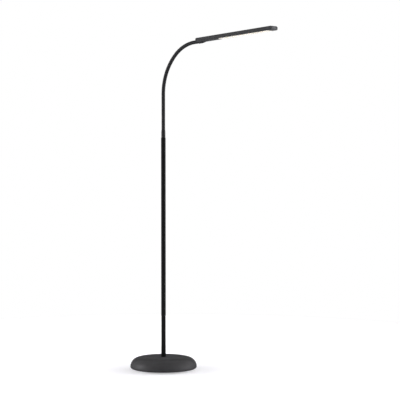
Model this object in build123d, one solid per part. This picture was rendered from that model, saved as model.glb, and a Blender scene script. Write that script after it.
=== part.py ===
from build123d import *

# Gooseneck reading floor lamp: a weighted pebble base, a two-piece pole, a flexible
# ribbed neck and a slim bar head with a light strip under it and a dimmer button on
# its nose.
#
# Millimetres. The origin is the middle of the base on the floor, +Z is up, and the
# neck bends and the head points towards +X. The power inlet faces -X.

import os
from math import asin, atan2, cos, degrees, pi, radians, sin, sqrt

# ---- base ---------------------------------------------------------------------------
base_radius = 115.0
base_height = 44.6
waist_height = 11.0  # where the base is widest
tuck_radius = 6.0  # the cover's edge turns under below the waist
shoulder_radius = 31.0
flat_top_radius = 56.0
shoulder_steps = 7  # straight steps round the shoulder's arc
tuck_steps = 2
inner_shoulder_steps = 4  # the same arcs inside, where nobody looks
inner_tuck_steps = 1
cover_wall = 2.4
plate_thickness = 1.5
plate_height = 5.0  # underside of the plate above the floor
foot_radius = 75.0
foot_chamfer = 0.8
weight_radius = 98.0
weight_height = 19.5
weight_edge = 3.0
hub_radius = 24.0
nut_pocket_radius = 18.0
nut_pocket_depth = 18.0
plate_screw_circle = 62.0
plate_screw_count = 4
plate_screw_radius = 2.0
plate_screw_length = 9.0
plate_screw_head_radius = 4.0
plate_screw_head_height = 1.8

# ---- power inlet and lead -----------------------------------------------------------
inlet_height = 14.0
inlet_flange_radius = 5.5
inlet_flange_thickness = 1.2
inlet_barrel_radius = 4.0
inlet_length = 12.6
inlet_bore_radius = 2.8
inlet_bore_depth = 9.5
inlet_pin_radius = 1.0
inlet_pin_root = 0.5  # how deep the pin stands in the socket's floor
inlet_pin_recess = 1.0  # from the flange's face to the pin's tip
inlet_seat_depth = 1.4  # the flat seat below the cover's widest point
inlet_nut_thickness = 2.2
inlet_nut_relief = 1.2  # between the wall's chord and the nut's seat
lead_radius = 2.2
lead_sides = 8
lead_rise_radius = 7.5
lead_drop_radius = 60.0
lead_level_share = 0.7  # of the way out to the inlet, where the lead starts down
lead_floor_share = 0.5  # and where it reaches the channel's floor
channel_width = 9.0
channel_height = 12.0

# ---- pole ---------------------------------------------------------------------------
pole_radius = 8.0
pole_wall = 1.2
pole_seam = 423.0
pole_top = 802.0
insert_length = 27.0
stud_radius = 5.0
stud_bore = 3.2
stud_engagement = 25.0
stud_tail = 0.9  # what shows of the stud below its nut
spigot_radius = 4.8
spigot_length = 18.0
washer_radius = 12.0
washer_thickness = 1.6
nut_flats = 17.0
nut_thickness = 6.0

# ---- neck ---------------------------------------------------------------------------
collar_wall = 1.0
collar_length = 26.6
collar_taper_length = 8.0
collar_mouth_wall = 0.5
collar_socket = 14.0
hose_radius = 6.2
hose_bore = 3.3
hose_sides = 14  # flats round the hose
neck_rise = 123.4  # straight stretch above the collar
lower_bend_radius = 185.0
upper_bend_radius = 138.5
lower_bend_angle = 45.0
head_tilt = 4.37  # the head's rise above level, degrees
joint_count = 12
first_joint = 22.0  # along the neck from the collar
ball_radius = 5.6
ball_low = 0.3  # the shoulder below the joint's centre
ball_high = 3.9
cup_gap = 0.25
cup_angle = 40.0
cup_rim = 2.8  # from the joint's centre to the next link's rim
cup_depth = 4.7
ribs_per_link = 7
end_ribs = 2
rib_depth = 0.6
neck_lead_radius = 2.0

# ---- head ---------------------------------------------------------------------------
head_length = 318.0
head_width = 41.0
head_thickness = 13.3
head_top_radius = 5.8
head_bottom_radius = 5.0
head_wall = 1.3
neck_tail = 19.3  # straight neck between the bend and the head
neck_drop = 4.8  # the neck's axis below the head's
socket_depth = 18.0
rear_cap_length = 6.0
rear_cover_end = 96.0
rear_block_length = 24.0
rear_round = 2.0
round_steps = 3  # straight steps round the end faces' edges
boss_wall = 1.2
boss_straight = 12.0
boss_end = 46.0
trough_margin = 2.0  # the lead's trough runs on past the boss
slot_width = 28.0  # the housing's open underside
lip_cover = 1.3  # how far a flange reaches behind each lip
flange_thickness = 1.2
lens_wall = 1.5
lens_proud = 1.0
lens_edge = 0.7
nose_length = 18.0
nose_round = 3.0
nose_wall = 1.6
nose_face_wall = 2.0
tongue_length = 9.0
tongue_inside = 12.7
tongue_low = 3.6  # the tongues' lower edge below the head's axis
tongue_width = 1.7
port_across = 17.0
port_up = 1.2
port_radius = 2.4
port_bore = 1.2
port_screw_length = 14.0
port_screw_head_radius = 2.6
port_screw_head_height = 1.5
clamp_screw_radius = 1.9
clamp_screw_recess = 0.4  # from the screw's top to the channel's ceiling
board_width = 24.0
board_thickness = 1.2
board_start = 100.0
board_end = 289.0
tape_thickness = 0.3
chip_length = 3.0
chip_width = 2.8
chip_height = 0.8
chip_count = 24
chip_start = 112.0
button_width = 24.0
button_height = 8.5
button_proud = 1.0
button_rim = 1.3
button_dish = 0.4
button_edge = 0.4
button_flange = 0.45  # how far the flange reaches past its opening all round
button_back = 3.8  # from the nose's end face to the button's back
switch_board_back = 12.0  # from the nose's end face to the board's back
switch_side = 6.0
switch_height = 3.2
switch_recess = 1.0  # how far down the switch the plunger's well starts
plunger_seat = 1.8  # from the board to the plunger's foot
plunger_radius = 1.7
head_lead_radius = 1.5
head_lead_bend = 14.0
head_lead_rest = 0.2  # above the slot cover's flange
head_lead_rise = 16.0  # where the lead leaves the flange, before the cover's end
head_lead_stop = 4.0  # before the first chip's pitch
switch_lead_radius = 0.9
switch_lead_across = 9.0
switch_lead_overlap = 8.0  # along the light board, to its pad

# ---- clearances ---------------------------------------------------------------------
fit_gap = 0.05
loose_gap = 0.1
button_gap = 0.3
lead_gap = 0.6

# ---- worked out from the sizes above ------------------------------------------------
pole_bore = pole_radius - pole_wall
insert_radius = pole_bore - fit_gap
plate_top = plate_height + plate_thickness
weight_top = plate_top + weight_height
cover_ceiling = base_height - cover_wall
lip_radius = base_radius - tuck_radius
nut_seat = plate_top + nut_pocket_depth
inlet_face = base_radius - inlet_seat_depth
inlet_inner_end = inlet_face - inlet_length
collar_top = pole_top + collar_length
collar_radius = hose_radius + collar_wall
collar_mouth_radius = hose_radius + collar_mouth_wall
boss_radius = hose_radius + boss_wall
upper_bend_angle = 90.0 - head_tilt - lower_bend_angle
bend_radii = (lower_bend_radius, upper_bend_radius)
bend_angles = (lower_bend_angle, upper_bend_angle)
bend_lengths = tuple(r * radians(a) for r, a in zip(bend_radii, bend_angles))
neck_length = neck_rise + sum(bend_lengths)
head_half = head_thickness / 2.0
board_top = head_half - head_wall - tape_thickness
board_low = board_top - board_thickness
nose_start = head_length - nose_length
switch_board_start = head_length - switch_board_back
lip_top = -head_half + head_wall
flange_low = lip_top + fit_gap
flange_top = flange_low + flange_thickness


def rod(radius, bottom, top):
    """A round bar on the vertical axis."""
    bar = Cylinder(radius, top - bottom, align=(Align.CENTER, Align.CENTER, Align.MIN))
    return Pos(0, 0, bottom) * bar


def tube(outer, inner, bottom, top):
    """A round tube on the vertical axis."""
    return rod(outer, bottom, top) - rod(inner, bottom, top)


def block(low, high):
    """A box between two opposite corners."""
    size = [b - a for a, b in zip(low, high)]
    centre = [(a + b) / 2.0 for a, b in zip(low, high)]
    return Pos(*centre) * Box(*size)


def along_x(shape, across=0.0, up=0.0):
    """A shape made on +Z, laid along +X."""
    return Pos(0, across, up) * Rot(0, 90, 0) * shape


def along_minus_x(shape):
    """A shape made on +Z, laid along -X at the inlet's height."""
    return Pos(0, 0, inlet_height) * Rot(0, -90, 0) * shape


def half_solid(section):
    """A full turn of a section drawn as (distance from the axis, height)."""
    return revolve(Plane.XZ * section, Axis.Z)


# ---- base ---------------------------------------------------------------------------
def arc_steps(centre, radius, start, end, count):
    """Points round an arc, from one angle to another, in even steps."""
    angles = [radians(start + (end - start) * n / count) for n in range(count + 1)]
    return [(centre[0] + radius * cos(a), centre[1] + radius * sin(a)) for a in angles]


def cover_profile(inset, shoulder_count, tuck_count):
    """The pebble's half outline: a flat top, two tangent arcs and a tuck under it."""
    rise = base_height - waist_height
    reach = base_radius - shoulder_radius - flat_top_radius
    spare = reach**2 + rise**2 - shoulder_radius**2
    crown_radius = spare / (2.0 * (rise - shoulder_radius))
    crown_end = 90 - degrees(asin(reach / (crown_radius - shoulder_radius)))
    crown = arc_steps(
        (flat_top_radius, base_height - crown_radius), crown_radius - inset, 90, crown_end, 2
    )
    shoulder_centre = (base_radius - shoulder_radius, waist_height)
    shoulder = arc_steps(
        shoulder_centre, shoulder_radius - inset, crown_end, 0, shoulder_count
    )
    tuck = arc_steps((lip_radius, waist_height), tuck_radius - inset, 0, -90, tuck_count)
    return crown + shoulder[1:] + tuck[1:]


def cover_outside():
    outline = cover_profile(0, shoulder_steps, tuck_steps)
    bottom = waist_height - tuck_radius
    return half_solid(make_face(Polyline((0, bottom), (0, base_height), *outline, close=True)))


def cover_hollow():
    """The space under the cover, one wall in from the outside, with an open mouth."""
    outline = cover_profile(cover_wall, inner_shoulder_steps, inner_tuck_steps)
    low = waist_height - tuck_radius - 1
    mouth = [(lip_radius, low), (0, low), (0, cover_ceiling)]
    return half_solid(make_face(Polyline(*outline[:-1], *mouth, close=True)))


def base_cover():
    shell = cover_outside() - cover_hollow()
    shell -= rod(stud_radius + loose_gap, 0, base_height + 1)
    seat = rod(inlet_flange_radius + loose_gap, inlet_face, base_radius + 1)
    hole = rod(inlet_barrel_radius + loose_gap, inlet_inner_end, base_radius)
    return shell - along_minus_x(seat) - along_minus_x(hole)


def plate_screw_places():
    """The middles of the screws that hold the bottom plate."""
    return PolarLocations(plate_screw_circle, plate_screw_count, start_angle=45)


def base_weight():
    disc = rod(weight_radius, plate_top, weight_top)
    disc = chamfer(disc.edges().group_by(Axis.Z)[-1], weight_edge)
    hub = rod(hub_radius, weight_top - 1, cover_ceiling)
    pocket = rod(nut_pocket_radius, 0, nut_seat)
    bore = rod(stud_radius + loose_gap, 0, base_height)
    channel = block(
        (-weight_radius - 1, -channel_width / 2, 0),
        (0, channel_width / 2, plate_top + channel_height),
    )
    casting = disc + hub - pocket - bore - channel
    hole = rod(plate_screw_radius + fit_gap, 0, plate_height + plate_screw_length + 1)
    for place in plate_screw_places():
        casting -= place * hole
    return casting


def base_plate():
    plate = rod(lip_radius - fit_gap, plate_height, plate_top)
    hole = rod(plate_screw_radius + loose_gap, 0, base_height)
    for place in plate_screw_places():
        plate -= place * hole
    return plate


def base_plate_screws():
    head = rod(plate_screw_head_radius, plate_height - plate_screw_head_height, plate_height)
    shank = rod(plate_screw_radius, plate_height - 0.1, plate_height + plate_screw_length)
    return [place * (head + shank) for place in plate_screw_places()]


def foot_pad():
    pad = rod(foot_radius, 0, plate_height)
    pad = chamfer(pad.edges().group_by(Axis.Z)[0], foot_chamfer)
    low = plate_height - plate_screw_head_height - loose_gap
    for place in plate_screw_places():
        pad -= place * rod(plate_screw_head_radius + loose_gap, low, plate_height)
    return pad


def pole_stud():
    low = nut_seat - washer_thickness - nut_thickness - stud_tail
    return tube(stud_radius, stud_bore, low, base_height + stud_engagement)


def stud_washer():
    return tube(washer_radius, stud_radius + loose_gap, nut_seat - washer_thickness, nut_seat)


def stud_nut():
    top = nut_seat - washer_thickness
    hexagon = RegularPolygon(nut_flats / 2, 6, major_radius=False)
    body = extrude(Plane.XY.offset(top - nut_thickness) * hexagon, nut_thickness)
    return body - rod(stud_radius + fit_gap, 0, top)


# ---- power inlet and the lead inside the base and pole ------------------------------
def power_inlet():
    mouth = inlet_face + inlet_flange_thickness
    flange = rod(inlet_flange_radius, inlet_face, mouth)
    barrel = rod(inlet_barrel_radius, inlet_inner_end, inlet_face)
    floor = mouth - inlet_bore_depth
    socket = rod(inlet_bore_radius, floor, mouth)
    pin = rod(inlet_pin_radius, floor - inlet_pin_root, mouth - inlet_pin_recess)
    return along_minus_x(flange + barrel - socket + pin)


def inlet_nut():
    seat = inlet_face - cover_wall - inlet_nut_relief
    ring = tube(
        inlet_flange_radius, inlet_barrel_radius + fit_gap, seat - inlet_nut_thickness, seat
    )
    return along_minus_x(ring)


def pole_lead():
    """The lead from the inlet, along the weight's channel and up the pole."""
    low = plate_top + lead_radius + loose_gap
    points = [
        (-inlet_inner_end, 0, inlet_height),
        (-inlet_inner_end * lead_level_share, 0, inlet_height),
        (-inlet_inner_end * lead_floor_share, 0, low),
        (0, 0, low),
        (0, 0, collar_top),
    ]
    path = FilletPolyline(*points, radius=[lead_drop_radius, lead_drop_radius, lead_rise_radius])
    section = Plane(points[0], z_dir=(1, 0, 0)) * RegularPolygon(lead_radius, lead_sides)
    return sweep(section, path=path)


# ---- pole ---------------------------------------------------------------------------
def lower_pole():
    return tube(pole_radius, pole_bore, base_height, pole_seam)


def upper_pole():
    return tube(pole_radius, pole_bore, pole_seam, pole_top)


def pole_foot_insert():
    top = base_height + insert_length
    return tube(insert_radius, stud_radius + fit_gap, base_height, top)


def pole_joint_socket():
    bottom = pole_seam - insert_length
    return tube(insert_radius, spigot_radius + fit_gap, bottom, pole_seam)


def pole_joint_stud():
    body = rod(insert_radius, pole_seam, pole_seam + insert_length)
    spigot = rod(spigot_radius, pole_seam - spigot_length, pole_seam)
    bore = rod(stud_bore, pole_seam - spigot_length, pole_seam + insert_length)
    return body + spigot - bore


def pole_top_insert():
    bottom = pole_top - insert_length
    return tube(insert_radius, spigot_radius + fit_gap, bottom, pole_top)


def neck_collar():
    """A turned collar, screwed into the pole, whose mouth narrows to the hose."""
    bottom = pole_top - spigot_length
    taper_start = collar_top - collar_taper_length
    socket_floor = collar_top - collar_socket
    outline = Polyline(
        (stud_bore, bottom),
        (spigot_radius, bottom),
        (spigot_radius, pole_top),
        (collar_radius, pole_top),
        (collar_radius, taper_start),
        (collar_mouth_radius, collar_top),
        (hose_radius + fit_gap, collar_top),
        (hose_radius + fit_gap, socket_floor),
        (stud_bore, socket_floor),
        close=True,
    )
    return half_solid(make_face(outline))


# ---- neck ---------------------------------------------------------------------------
def neck_point(distance):
    """A point of the neck's centre line, by its distance along it from the collar."""
    if distance <= neck_rise:
        return Vector(0, 0, collar_top + distance)
    x, z, turned = 0.0, collar_top + neck_rise, 0.0
    left = distance - neck_rise
    for radius, length in zip(bend_radii, bend_lengths):
        step = min(left, length) / radius
        end = turned + step
        x += radius * (cos(turned) - cos(end))
        z += radius * (sin(end) - sin(turned))
        turned = end
        left -= min(left, length)
    return Vector(x + left * sin(turned), 0, z + left * cos(turned))


def joint_points():
    """The centres of the neck's joints, evenly spaced up to the end of the bend."""
    pitch = (neck_length - first_joint) / (joint_count - 1)
    return [neck_point(first_joint + pitch * n) for n in range(joint_count)]


def flats(radius, height, inside=False):
    """The hose's many-sided outline at a height, by its corners or by its flats."""
    outline = RegularPolygon(radius, hose_sides, major_radius=not inside)
    return Plane.XY.offset(height) * outline


def tapered(low, high, inside):
    """A many-sided step from one (radius, height) up to the next."""
    wide, narrow = max(low[0], high[0]), min(low[0], high[0])
    share = 1.0 if inside else cos(pi / hose_sides)
    taper = degrees(atan2((wide - narrow) * share, high[1] - low[1]))
    step = extrude(flats(wide, low[1], inside), high[1] - low[1], taper=taper)
    if low[0] < high[0]:
        step = mirror(step, Plane.XY.offset((low[1] + high[1]) / 2))
    return step


def stacked(outlines, inside=False):
    """A many-sided solid that tapers from each (radius, height) to the next."""
    steps = [tapered(low, high, inside) for low, high in zip(outlines, outlines[1:])]
    return steps[0].fuse(*steps[1:]) if len(steps) > 1 else steps[0]


def ribbed(bottom, top, count):
    """(radius, height) pairs of a stretch of crests and valleys."""
    pitch = (top - bottom) / count
    outlines = [(hose_radius, bottom)]
    for n in range(count):
        outlines.append((hose_radius - rib_depth, bottom + pitch * (n + 0.5)))
        outlines.append((hose_radius, bottom + pitch * (n + 1)))
    return outlines


def ball_end(height):
    """The rounded end that stands inside the next link's cup."""
    heights = (-ball_low, (ball_high - ball_low) / 2, ball_high)
    outlines = [(sqrt(ball_radius**2 - h**2), height + h) for h in heights]
    return stacked(outlines)


def cup_space():
    """The space in a link's foot that clears the ball below it at every angle."""
    tilt = radians(cup_angle)
    reach = ball_radius + cup_gap
    outlines = [
        ((reach - h * sin(tilt)) / cos(tilt), h) for h in (cup_rim - 0.5, cup_depth)
    ]
    return stacked(outlines, inside=True)


def hose_hole(bottom, top):
    """The lead's way through a link."""
    return extrude(flats(hose_bore, bottom, inside=True), top - bottom)


def middle_link(length):
    """A hose link with a cup at its foot and a ball at its top."""
    body = stacked(ribbed(cup_rim, length - ball_low, ribs_per_link))
    return body + ball_end(length) - cup_space() - hose_hole(0, length + ball_high)


def bottom_link(length):
    """The hose's foot: plain in the collar, ribbed above it, with a ball on top."""
    outlines = [(hose_radius, 0)]
    outlines += ribbed(collar_socket + 1, length - ball_low, end_ribs * 3 // 2)
    body = stacked(outlines)
    return body + ball_end(length) - hose_hole(0, length + ball_high)


def top_link(length):
    """The hose's end: a cup at its foot, then ribs, then plain in the head's socket."""
    outlines = ribbed(cup_rim, length - socket_depth - 1, end_ribs * 2)
    outlines.append((hose_radius, length))
    return stacked(outlines) - cup_space() - hose_hole(0, length)


def stand_between(shape, start, end):
    """A shape made on +Z, stood on one point and aimed at another."""
    return Plane(start, x_dir=(0, 1, 0), z_dir=end - start).location * shape


def neck_links():
    """The hose links from the collar to the head, in order."""
    joints = joint_points()
    foot = neck_point(0) - Vector(0, 0, collar_socket)
    links = [stand_between(bottom_link((joints[0] - foot).length), foot, joints[0])]
    for low, high in zip(joints, joints[1:]):
        links.append(stand_between(middle_link((high - low).length), low, high))
    tail = neck_point(neck_length + neck_tail + socket_depth)
    links.append(stand_between(top_link((tail - joints[-1]).length), joints[-1], tail))
    return links


def neck_lead():
    """The lead through the neck, along its centre line."""
    ends = [neck_point(neck_rise + sum(bend_lengths[:n])) for n in range(3)]
    path = [Line(neck_point(0), ends[0])]
    for n, length in enumerate(bend_lengths):
        middle = neck_point(neck_rise + sum(bend_lengths[:n]) + length / 2)
        path.append(ThreePointArc(ends[n], middle, ends[n + 1]))
    tail = neck_point(neck_length + neck_tail + socket_depth)
    path.append(Line(ends[2], tail))
    section = Plane(neck_point(0), z_dir=(0, 0, 1)) * RegularPolygon(neck_lead_radius, lead_sides)
    return sweep(section, path=Wire(path))


# ---- head, made level along +X from its rear face, then tilted and moved ------------
def head_place():
    """Where the head's rear face stands, and its tilt."""
    entry = neck_point(neck_length + neck_tail)
    lift = Vector(-sin(radians(head_tilt)), 0, cos(radians(head_tilt))) * neck_drop
    return Pos(*(entry + lift)) * Rot(0, -head_tilt, 0)


def bar_section(inset=0.0):
    """The head's rounded section, drawn in by an inset all round."""
    outline = Rectangle(head_width - 2 * inset, head_thickness - 2 * inset)
    upper = outline.vertices().group_by(Axis.Y)[-1]
    outline = fillet(upper, max(head_top_radius - inset, 0.5))
    lower = outline.vertices().group_by(Axis.Y)[0]
    return fillet(lower, max(head_bottom_radius - inset, 0.5))


def bar(start, end, inset=0.0):
    """A length of the head's section."""
    return extrude(Plane.YZ.offset(start) * bar_section(inset), end - start)


def rounded_bar(start, end, radius):
    """A length of the head's section whose far face has a rounded edge."""
    body = bar(start, end - radius)
    angles = [pi / 2 * n / round_steps for n in range(round_steps + 1)]
    rims = [(end - radius + radius * sin(a), radius * (1 - cos(a))) for a in angles]
    for (near, wide), (far, narrow) in zip(rims, rims[1:]):
        taper = degrees(atan2(narrow - wide, far - near))
        body += extrude(Plane.YZ.offset(near) * bar_section(wide), far - near, taper=taper)
    return body


def port_rod(radius, start, end, side):
    """A round bar on a screw port's axis."""
    return along_x(rod(radius, start, end), side * port_across, port_up)


def head_housing():
    """The long channel: a rounded wall, two screw ports and an open underside."""
    start, end = rear_cap_length, nose_start
    shell = bar(start, end) - bar(start, end, head_wall)
    for side in (-1, 1):
        shell += port_rod(port_radius, start, end, side) & bar(start, end, head_wall / 2)
    half = slot_width / 2
    shell -= block((start, -half, -head_half - 1), (end, half, lip_top + 1))
    for side in (-1, 1):
        shell -= port_rod(port_bore, start, end, side)
    return shell


def slot_strip(start, end, low, high, play=0.0):
    """A strip that fills the housing's open underside."""
    half = slot_width / 2 - loose_gap - play
    return block((start, -half, low), (end, half, high))


def lip_flange(start, end):
    """A flange that rests behind the housing's lips."""
    half = slot_width / 2 + lip_cover
    return block((start, -half, flange_low), (end, half, flange_top))


def neck_boss():
    """A socket's outside that fades into the head's underside."""
    flush = head_half - neck_drop
    taper = Line((boss_straight, boss_radius), (boss_end, flush))
    rest = Polyline(
        (boss_end, flush), (boss_end, 0), (0, 0), (0, boss_radius), (boss_straight, boss_radius)
    )
    section = make_face([taper, rest])
    return Pos(0, 0, -neck_drop) * revolve(Plane.XZ * section, Axis.X)


def rear_cap():
    """The moulded rear end: cap, neck socket, clamp boss and the slot's rear cover."""
    cap = mirror(rounded_bar(-rear_cap_length, 0, rear_round), Plane.YZ)
    block_end = rear_cap_length + rear_block_length
    half = slot_width / 2 - loose_gap
    top = head_half - head_wall - loose_gap
    body = cap + block((rear_cap_length, -half, flange_low), (block_end, half, top))
    body += slot_strip(rear_cap_length, rear_cover_end, -head_half, flange_low)
    body += lip_flange(rear_cap_length, rear_cover_end)
    body += neck_boss()
    trough = neck_lead_radius + lead_gap
    body -= along_x(rod(hose_radius + fit_gap, -1, socket_depth), up=-neck_drop)
    trough_end = boss_end + trough_margin
    body -= along_x(rod(trough, 0, trough_end), up=-neck_drop)
    body -= block((socket_depth, -trough, -neck_drop), (trough_end, trough, head_half))
    body -= Pos(boss_straight, 0, 0) * rod(clamp_screw_radius + fit_gap, 0, head_half + 1)
    sink = port_screw_head_height + loose_gap
    for side in (-1, 1):
        body -= port_rod(port_bore + loose_gap, 0, rear_cap_length, side)
        body -= port_rod(port_screw_head_radius + loose_gap, -1, sink, side)
    return body


def rear_cap_screws():
    start = loose_gap
    screws = []
    for side in (-1, 1):
        head = port_rod(port_screw_head_radius, start, start + port_screw_head_height, side)
        shank = port_rod(port_bore - fit_gap, start, start + port_screw_length, side)
        screws.append(head + shank)
    return screws


def neck_clamp_screw():
    bottom = -neck_drop + hose_radius + fit_gap
    screw = rod(clamp_screw_radius, bottom, head_half - head_wall - clamp_screw_recess)
    return Pos(boss_straight, 0, 0) * screw


def diffuser():
    start, end = rear_cover_end + loose_gap, nose_start - loose_gap
    low = -head_half - lens_proud
    lens = slot_strip(start, end, low, flange_top, play=loose_gap)
    lens = chamfer(lens.edges().group_by(Axis.Z)[0], lens_edge)
    hollow = slot_strip(
        start + lens_wall, end - lens_wall, low + lens_wall, flange_top + 1, play=lens_wall
    )
    return lens + lip_flange(start, end) - hollow


def thermal_tape():
    half = board_width / 2 - 1
    return block((board_start, -half, board_top), (board_end, half, board_top + tape_thickness))


def led_board():
    half = board_width / 2
    return block((board_start, -half, board_low), (board_end, half, board_top))


def led_chips():
    pitch = (board_end - chip_start) / chip_count
    chips = []
    for n in range(chip_count):
        near = chip_start + pitch * (n + 0.5) - chip_length / 2
        low = (near, -chip_width / 2, board_low - chip_height)
        chips.append(block(low, (near + chip_length, chip_width / 2, board_low)))
    return chips


def head_lead():
    """The lead from the neck, through the rear cap, to the light board."""
    end_height = board_low - head_lead_radius
    rest_height = flange_top + head_lead_rest + head_lead_radius
    points = [
        (socket_depth, 0, -neck_drop),
        (boss_straight + socket_depth, 0, -neck_drop),
        (boss_end, 0, rest_height),
        (rear_cover_end - head_lead_rise, 0, rest_height),
        (rear_cover_end, 0, end_height),
        (chip_start - head_lead_stop, 0, end_height),
    ]
    path = FilletPolyline(*points, radius=[head_lead_bend] * 4)
    section = Plane(points[0], z_dir=(1, 0, 0)) * RegularPolygon(head_lead_radius, lead_sides)
    return sweep(section, path=path)


def button_outline(grow=0.0):
    """The button's round-ended outline."""
    return SlotOverall(button_width + 2 * grow, button_height + 2 * grow)


def button_bar(start, end, grow=0.0):
    """A length of the button's outline along the head."""
    return extrude(Plane.YZ.offset(start) * button_outline(grow), end - start)


def nose_cap():
    """The hollow nose, with the button's opening and two tongues into the housing."""
    cap = rounded_bar(nose_start, head_length, nose_round)
    cap -= bar(nose_start - 1, head_length - nose_face_wall, nose_wall)
    cap -= button_bar(nose_start, head_length + 1, button_gap)
    tongue_top = head_half - head_wall - loose_gap
    for side in (-1, 1):
        near, far = sorted((side * tongue_inside, side * (tongue_inside + tongue_width)))
        low = (nose_start - tongue_length, near, -tongue_low)
        cap += block(low, (nose_start + nose_wall * 2, far, tongue_top))
    return cap


def switch_board():
    end = switch_board_start + board_thickness
    return bar(switch_board_start, end, nose_wall + loose_gap)


def tact_switch():
    start = switch_board_start + board_thickness
    half = switch_side / 2
    body = block((start, -half, -half), (start + switch_height, half, half))
    return body - along_x(rod(plunger_radius + loose_gap, start + switch_recess, start + switch_height))


def switch_plunger():
    start = switch_board_start + board_thickness + plunger_seat
    return along_x(rod(plunger_radius, start, head_length - button_back))


def dimmer_button():
    """The push button, with a shallow dish in its face and a flange behind the nose."""
    back = head_length - button_back
    front = head_length + button_proud
    key = button_bar(back, front)
    key = chamfer(key.edges().group_by(Axis.X)[-1], button_edge)
    flange_end = head_length - nose_face_wall - fit_gap
    key += button_bar(back, flange_end, button_gap + button_flange)
    return key - button_bar(front - button_dish, front + 1, -button_rim)


def switch_lead():
    """The lead from the light board to the switch board."""
    up = board_low - switch_lead_radius - fit_gap
    wire = rod(switch_lead_radius, board_end - switch_lead_overlap, switch_board_start)
    return along_x(wire, switch_lead_across, up)


# ---- all nodes ----------------------------------------------------------------------
def placed(shape):
    """A head piece, or a list of them, in its place on the neck."""
    if isinstance(shape, list):
        return [head_place() * piece for piece in shape]
    return head_place() * shape


def all_nodes():
    """Every node's name and its solid or solids."""
    nodes = {
        "base_cover": base_cover(),
        "base_weight": base_weight(),
        "base_plate": base_plate(),
        "base_plate_screws": base_plate_screws(),
        "foot_pad": foot_pad(),
        "pole_stud": pole_stud(),
        "stud_washer": stud_washer(),
        "stud_nut": stud_nut(),
        "power_inlet": power_inlet(),
        "inlet_nut": inlet_nut(),
        "pole_lead": pole_lead(),
        "pole_foot_insert": pole_foot_insert(),
        "lower_pole": lower_pole(),
        "pole_joint_socket": pole_joint_socket(),
        "pole_joint_stud": pole_joint_stud(),
        "upper_pole": upper_pole(),
        "pole_top_insert": pole_top_insert(),
        "neck_collar": neck_collar(),
        "neck_lead": neck_lead(),
        "rear_cap": placed(rear_cap()),
        "rear_cap_screws": placed(rear_cap_screws()),
        "neck_clamp_screw": placed(neck_clamp_screw()),
        "head_housing": placed(head_housing()),
        "diffuser": placed(diffuser()),
        "thermal_tape": placed(thermal_tape()),
        "led_board": placed(led_board()),
        "led_chips": placed(led_chips()),
        "head_lead": placed(head_lead()),
        "nose_cap": placed(nose_cap()),
        "switch_board": placed(switch_board()),
        "tact_switch": placed(tact_switch()),
        "switch_plunger": placed(switch_plunger()),
        "switch_lead": placed(switch_lead()),
        "dimmer_button": placed(dimmer_button()),
    }
    for n, link in enumerate(neck_links()):
        nodes[f"neck_link_{n:02d}"] = link
    return nodes


os.makedirs("parts", exist_ok=True)
for name, shape in all_nodes().items():
    solids = shape if isinstance(shape, list) else shape.solids()
    export_step(Compound(solids), f"parts/{name}.step")
print("joint centres", [tuple(round(v, 3) for v in p) for p in joint_points()])
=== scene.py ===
import logging
import math
from dataclasses import dataclass, field
from enum import Enum
from typing import Iterable

import bmesh
import bpy
from mathutils import Matrix, Vector


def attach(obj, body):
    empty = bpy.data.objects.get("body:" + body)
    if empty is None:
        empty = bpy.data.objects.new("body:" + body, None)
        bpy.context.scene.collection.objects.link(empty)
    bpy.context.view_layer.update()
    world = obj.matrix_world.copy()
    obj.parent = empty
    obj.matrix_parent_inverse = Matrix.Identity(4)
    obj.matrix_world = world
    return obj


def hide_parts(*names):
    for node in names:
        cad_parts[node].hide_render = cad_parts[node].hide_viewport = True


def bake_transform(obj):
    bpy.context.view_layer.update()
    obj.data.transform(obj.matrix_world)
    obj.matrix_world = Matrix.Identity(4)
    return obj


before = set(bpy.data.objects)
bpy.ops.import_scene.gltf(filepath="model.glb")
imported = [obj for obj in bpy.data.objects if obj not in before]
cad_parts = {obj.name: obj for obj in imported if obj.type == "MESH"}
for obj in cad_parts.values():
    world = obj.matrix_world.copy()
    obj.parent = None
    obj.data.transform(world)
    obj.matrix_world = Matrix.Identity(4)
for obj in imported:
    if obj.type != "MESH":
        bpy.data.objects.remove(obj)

LOG = logging.getLogger("gooseneck_lamp")

Colour = tuple[float, float, float]


def srgb(level: Colour) -> Colour:
    """Turn a colour as it is seen, 0 to 1, into the linear light a shader takes.

    Args:
        level: The seen colour, one number a channel.

    Returns:
        The same colour in linear light.
    """
    return tuple(
        c / 12.92 if c <= 0.04045 else ((c + 0.055) / 1.055) ** 2.4 for c in level
    )


# ---- finishes -----------------------------------------------------------------------
NOISE_SPAN = (0.3, 0.7)
SPOTS_PER_SMUDGE = 3
SPOT_DETAIL = 5.0
SMUDGE_DETAIL = 3.0
CAST_DETAIL = 8.0
FINE_DETAIL = 2.0
BRUSH_STRETCH = (0.02, 1.0, 1.0)
BUMP_STRENGTH = 0.6
LEAST_ROUGHNESS = 0.02


class Nodes:
    """The nodes of one material or world, as they are added."""

    def __init__(self, tree: bpy.types.NodeTree) -> None:
        """Start on a node tree."""
        self.tree = tree

    def add(
        self, kind: str, values: dict[str | int, object] | None = None, **settings: str
    ) -> bpy.types.Node:
        """Add a node.

        Args:
            kind: Its type, without the word that every type starts with.
            values: What its inputs hold, as fill takes it.
            settings: Its own settings, such as its operation.

        Returns:
            The node.
        """
        node = self.tree.nodes.new(f"ShaderNode{kind}")
        for setting, choice in settings.items():
            setattr(node, setting, choice)
        self.fill(node, values or {})
        return node

    def fill(self, node: bpy.types.Node, values: dict[str | int, object]) -> None:
        """Link or set a node's inputs.

        Args:
            node: The node.
            values: A socket to link, or a number or colour, for each input.
        """
        for key, value in values.items():
            if isinstance(value, bpy.types.NodeSocket):
                self.tree.links.new(value, node.inputs[key])
            else:
                node.inputs[key].default_value = value


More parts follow.
